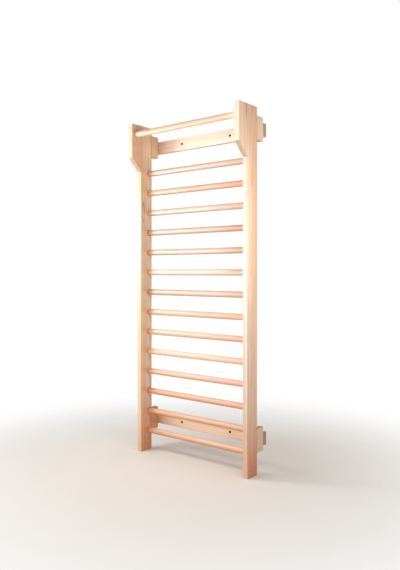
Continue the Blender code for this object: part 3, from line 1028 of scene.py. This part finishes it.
# ---------------------------------------------------------------- wall rails and spacer blocks
def make_rail(level, finish):
    node = level + "_wall_rail"
    low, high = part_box(node)
    size, centre = high - low, (low + high) / 2
    obj = block_of_wood(level + "_rail", size, finish)
    ease(obj, lambda a, b: EDGE)
    screws = [
        middle(f"{level}_{side_name}_joining_screw_{which}") - centre
        for side_name, _ in SIDES
        for which in ("low", "high")
    ]
    wide = bmesh.new()
    for x in (-WALL_HOLE_X, WALL_HOLE_X):
        bore(
            wide,
            (x, -size.y / 2, 0.0),
            ALONG_Y,
            WALL_CBORE_D,
            WALL_CBORE_DEPTH,
            0.0006,
            point=False,
        )
    for at in screws:
        bore(
            wide,
            (at.x, size.y / 2, at.z),
            AGAINST_Y,
            SCREW_CBORE_D,
            SCREW_CBORE_DEPTH,
            0.0005,
            point=False,
        )
    cut(obj, wide, HOLE_SHADE)
    thin = bmesh.new()
    for x in (-WALL_HOLE_X, WALL_HOLE_X):
        start = Matrix.Translation((x, -0.03, 0.0)) @ ALONG_Y
        r = WALL_HOLE_D / 2
        turned(thin, [(r, 0.0), (r, 0.06)], start, BORE_ROUND)
    for at in screws:
        start = Matrix.Translation((at.x, -0.03, at.z)) @ ALONG_Y
        r = SCREW_HOLE_D / 2
        turned(thin, [(r, 0.0), (r, 0.06)], start, BORE_ROUND)
    cut(obj, thin, HOLE_SHADE)
    shade(obj)
    return place(obj, centre, node, "rail_wood")


def make_block(level, side_name, finish):
    node = f"{level}_{side_name}_spacer_block"
    low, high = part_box(node)
    size, centre = high - low, (low + high) / 2
    obj = block_of_wood(f"{level}_{side_name}_block", size, finish)
    ease(obj, lambda a, b: EDGE)
    bm = bmesh.new()
    for which in ("low", "high"):
        at = middle(f"{level}_{side_name}_joining_screw_{which}") - centre
        start = Matrix.Translation((at.x, -0.06, at.z)) @ ALONG_Y
        r = SCREW_HOLE_D / 2
        turned(bm, [(r, 0.0), (r, 0.12)], start, BORE_ROUND)
    cut(obj, bm, HOLE_SHADE)
    shade(obj)
    return place(obj, centre, node, "block_wood")


for k, level in enumerate(("upper", "lower")):
    make_rail(
        level,
        varnished_wood(
            level + "_rail_wood",
            "X",
            201.7 + 9.1 * k,
            (0.030 - 0.05 * k, 0.072, 0.0),
            0.0040,
            *RAIL_TONES[level],
            turns=RAIL_END_LIGHT_AND_SHADE[level],
            lines=(0.6, 0.9)[k],
            streaks=(0.25, 0.50)[k],
        ),
    )
    for j, (side_name, side) in enumerate(SIDES):
        make_block(
            level,
            side_name,
            varnished_wood(
                f"{level}_{side_name}_block_wood",
                "Z",
                241.3 + 13.7 * k + 6.1 * j,
                (side * 0.055, 0.030 - 0.04 * j, 0.0),
                0.0036,
                *BLOCK_TONES[f"{level}_{side_name}"],
                roughness=0.48,
                face_shade=((0.0, 0.0, 1.0), (0.76, 0.84, 0.94, 1.0)) if k and side < 0 else None,
            ),
        )

# ---------------------------------------------------------------- what holds them together
DOWEL_WOOD = varnished_wood(
    "dowel_beech",
    "Y",
    301.5,
    (0.020, 0.006, 0.0),
    0.0022,
    (0.720, 0.480, 0.300),
    (0.560, 0.330, 0.190),
    (0.680, 0.430, 0.270),
    roughness=0.6,
    coat=0.0,
)


def make_dowel(side_name, level):
    """A fluted dowel with chamfered ends. The flutes let the glue escape."""
    node = f"{side_name}_head_dowel_{level}"
    low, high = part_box(node)
    radius, half = (high.z - low.z) / 2, (high.y - low.y) / 2
    flutes, chamfer, depth = 12, 0.0010, 0.00035
    sides = 4 * flutes
    bm = bmesh.new()
    rings = []
    for share, y in ((0.0, -half), (1.0, -half + chamfer), (1.0, half - chamfer), (0.0, half)):
        ring = []
        for k in range(sides):
            r = radius - depth * (k % 4 == 0) - chamfer * (1.0 - share)
            angle = 2 * math.pi * k / sides
            ring.append(bm.verts.new((r * math.cos(angle), y, r * math.sin(angle))))
        rings.append(ring)
    for a, b in zip(rings, rings[1:]):
        for k in range(sides):
            n = (k + 1) % sides
            bm.faces.new((a[k], a[n], b[n], b[k]))
    bm.faces.new(rings[0])
    bm.faces.new(rings[-1])
    obj = mesh_object(f"{side_name}_dowel_{level}", bm)
    obj.data.materials.append(DOWEL_WOOD)
    shade(obj, 20)
    return place(obj, (low + high) / 2, node, "dowel_wood")


def make_screw(level, side_name, which):
    """A long joining screw: cylinder head with a hexagon socket, plain shank, coarse thread and point."""
    node = f"{level}_{side_name}_joining_screw_{which}"
    low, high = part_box(node)
    length, head_r = high.y - low.y, (high.z - low.z) / 2
    under, chamfer = length - 0.0045, 0.0006  # the point is at 0
    tip, threaded, pitch, per, sides = 0.008, 0.070, 0.0028, 4, 20
    core, crest, shank = 0.0020, 0.0030, 0.0024
    bm = bmesh.new()
    columns = []
    for a in range(sides):
        angle = 2 * math.pi * a / sides
        column = []
        for m in range(-per, per * (int((threaded - tip) / pitch) + 3)):
            z = tip + pitch * (m / per + a / sides)
            z = min(max(z, tip), threaded)
            grown = min(1.0, (z - tip) / pitch, (threaded - z) / pitch)
            r = core + (crest - core) * grown * (m % per == 1)
            column.append(bm.verts.new((r * math.cos(angle), r * math.sin(angle), z)))
        columns.append(column)
    for a in range(sides):
        here, there = columns[a], columns[(a + 1) % sides]
        turn = per if a == sides - 1 else 0  # the seam joins each row to the next turn's
        for m in range(len(here) - 1 - turn):
            bm.faces.new(
                (here[m], there[m + turn], there[m + turn + 1], here[m + 1])
            )
    bmesh.ops.remove_doubles(bm, verts=bm.verts[:], dist=1e-7)

    def ring_at(z):
        ring = [v for v in bm.verts if abs(v.co.z - z) < 1e-6]
        return sorted(ring, key=lambda v: math.atan2(v.co.y, v.co.x))

    start, ring = ring_at(tip), ring_at(threaded)
    point = bm.verts.new((0.0, 0.0, 0.0))
    for k in range(sides):
        bm.faces.new((point, start[(k + 1) % sides], start[k]))
    for r, z in (
        (shank, threaded + 0.0012),
        (shank, under),
        (head_r - 0.0003, under),
        (head_r, under + 0.0003),
        (head_r, length - chamfer),
        (head_r - chamfer, length),
    ):
        above = []
        for v in ring:
            out = Vector((v.co.x, v.co.y, 0.0)).normalized() * r
            above.append(bm.verts.new((out.x, out.y, z)))
        for k in range(sides):
            n = (k + 1) % sides
            bm.faces.new((ring[k], ring[n], above[n], above[k]))
        ring = above
    bm.faces.new(ring)
    bmesh.ops.translate(bm, vec=(0.0, 0.0, -length / 2), verts=bm.verts[:])
    bmesh.ops.transform(bm, matrix=ALONG_Y, verts=bm.verts[:])
    obj = mesh_object(f"{level}_{side_name}_screw_{which}", bm)
    obj.data.materials.append(STEEL)
    socket = bmesh.new()
    across = 0.005
    corner = across / math.sqrt(3)
    mouth = Matrix.Translation((0.0, length / 2, 0.0)) @ AGAINST_Y
    turned(
        socket,
        [
            (corner + 0.0012, -0.001),
            (corner + 0.0002, 0.0),
            (corner, 0.0002),
            (corner, 0.0028),
            (0.0, 0.0034),
        ],
        mouth,
        6,
    )
    cut(obj, socket, STEEL)
    shade(obj)
    return place(obj, (low + high) / 2, node, "screw_steel")


for side_name, _ in SIDES:
    for level in ("lower", "upper"):
        make_dowel(side_name, level)

for level in ("upper", "lower"):
    for side_name, _ in SIDES:
        for which in ("low", "high"):
            make_screw(level, side_name, which)

# ---------------------------------------------------------------- studio
scene = bpy.context.scene
scene.view_settings.view_transform = "Standard"
scene.view_settings.look = "None"
scene.view_settings.exposure = 0.0
scene.view_settings.gamma = 1.0

camera = bpy.data.objects.new("camera", bpy.data.cameras.new("camera"))
scene.collection.objects.link(camera)
camera.location = (2.42895, -2.95867, 1.21639)
camera.rotation_euler = (math.pi / 2, 0.0, math.radians(38.832))
camera.data.sensor_width = 36.0
camera.data.lens = 37.73
camera.data.shift_x = -0.0005
camera.data.shift_y = -0.0233
camera.data.clip_start, camera.data.clip_end = 0.05, 100.0
scene.camera = camera


def softbox(name, azimuth, distance, height, size, watts, aim_height, colour=(1, 1, 1), spread=180):
    """An area light that stands at that azimuth and looks at the object. 0 is in front of it, 90 at its right end."""
    light = bpy.data.lights.new(name, "AREA")
    light.shape = "RECTANGLE"
    light.size, light.size_y = size
    light.energy = watts
    light.color = colour
    light.spread = math.radians(spread)
    obj = bpy.data.objects.new(name, light)
    scene.collection.objects.link(obj)
    a = math.radians(azimuth)
    obj.location = (distance * math.sin(a), -distance * math.cos(a), height)
    aim = Vector((0.0, 0.0, aim_height)) - obj.location
    obj.rotation_euler = aim.to_track_quat("-Z", "Y").to_euler()
    obj.visible_camera = False
    return obj


softbox("key", -54, 1.2, 1.5, (0.35, 0.5), 10.7, 1.3)
softbox("front", -24, 2.4, 1.1, (0.5, 0.7), 10, 1.2)
softbox("right", 68, 1.2, 1.55, (0.6, 0.6), 7.1, 1.3)

world = bpy.data.worlds.new("studio")
scene.world = world
world.use_nodes = True
w = Nodes(world.node_tree)
for old in list(world.node_tree.nodes):
    world.node_tree.nodes.remove(old)
sky = w.put("ShaderNodeTexCoord")
split = w.put("ShaderNodeSeparateXYZ")
w.feed(split.inputs[0], sky.outputs["Generated"])
# a soft room: a broad window at the front left, an even ceiling, and light that the floor throws back
aside, away, up = split.outputs["X"], split.outputs["Y"], split.outputs["Z"]
behind = w.step(away, -0.15, 0.15)


def round_about(front_left, front_right, back_left, back_right):
    """One level for each quarter of the room, with soft changes between them."""
    front = w.step(aside, -0.15, 0.15, front_left, front_right)
    back = w.step(aside, -0.15, 0.15, back_left, back_right)
    return w.math("MULTIPLY_ADD", behind, w.math("SUBTRACT", back, front), front)


walls = round_about(1.79, 0.21, 0.12, 0.20)
below = round_about(1.95, 0.26, 0.12, 1.10)
walls = w.math(
    "MULTIPLY_ADD",
    w.step(up, 0.45, 0.75),
    w.math("SUBTRACT", 0.79, walls),
    walls,
)
level = w.math(
    "MULTIPLY_ADD",
    w.step(up, -0.05, 0.0),
    w.math("SUBTRACT", walls, below),
    below,
)
room = w.put("ShaderNodeBackground")
w.feed(
    room.inputs["Color"],
    w.mix(w.step(up, -0.05, 0.0), (1.04, 0.98, 0.91, 1.0), (1.0, 1.0, 1.0, 1.0)),
)
w.feed(room.inputs["Strength"], level)
white = w.put("ShaderNodeBackground")
white.inputs["Color"].default_value = (1.0, 1.0, 1.0, 1.0)
white.inputs["Strength"].default_value = 1.0
path = w.put("ShaderNodeLightPath")
either = w.put("ShaderNodeMixShader")
w.feed(either.inputs[0], path.outputs["Is Camera Ray"])
w.feed(either.inputs[1], room.outputs[0])
w.feed(either.inputs[2], white.outputs[0])
out = w.put("ShaderNodeOutputWorld")
w.feed(out.inputs["Surface"], either.outputs[0])


def pale_floor():
    """A pale matt floor that fades into the white of the studio away from the object."""
    bm = bmesh.new()
    bmesh.ops.create_circle(bm, cap_ends=True, segments=96, radius=7.0)
    floor = mesh_object("floor", bm)
    made = bpy.data.materials.new("pale_floor")
    made.use_nodes = True
    n = Nodes(made.node_tree)
    shader = made.node_tree.nodes["Principled BSDF"]
    output = made.node_tree.nodes["Material Output"]
    where = n.put("ShaderNodeTexCoord")
    mottle = n.noise(
        n.vector("MULTIPLY", where.outputs["Object"], (3.0, 3.0, 3.0)), 4.0
    )
    n.feed(
        shader.inputs["Base Color"],
        n.mix(mottle, (0.78, 0.72, 0.655, 1.0), (0.82, 0.76, 0.695, 1.0)),
    )
    shader.inputs["Roughness"].default_value = 0.6
    clear = n.put("ShaderNodeBsdfTransparent")
    fade = n.put("ShaderNodeMixShader")
    far = n.vector("LENGTH", where.outputs["Object"])
    n.feed(fade.inputs[0], n.step(far, 0.45, 2.2))
    n.feed(fade.inputs[1], shader.outputs[0])
    n.feed(fade.inputs[2], clear.outputs[0])
    n.feed(output.inputs["Surface"], fade.outputs[0])
    floor.data.materials.append(made)
    floor.location.z = CAD_LOW.z - 0.0002
    return floor


pale_floor()
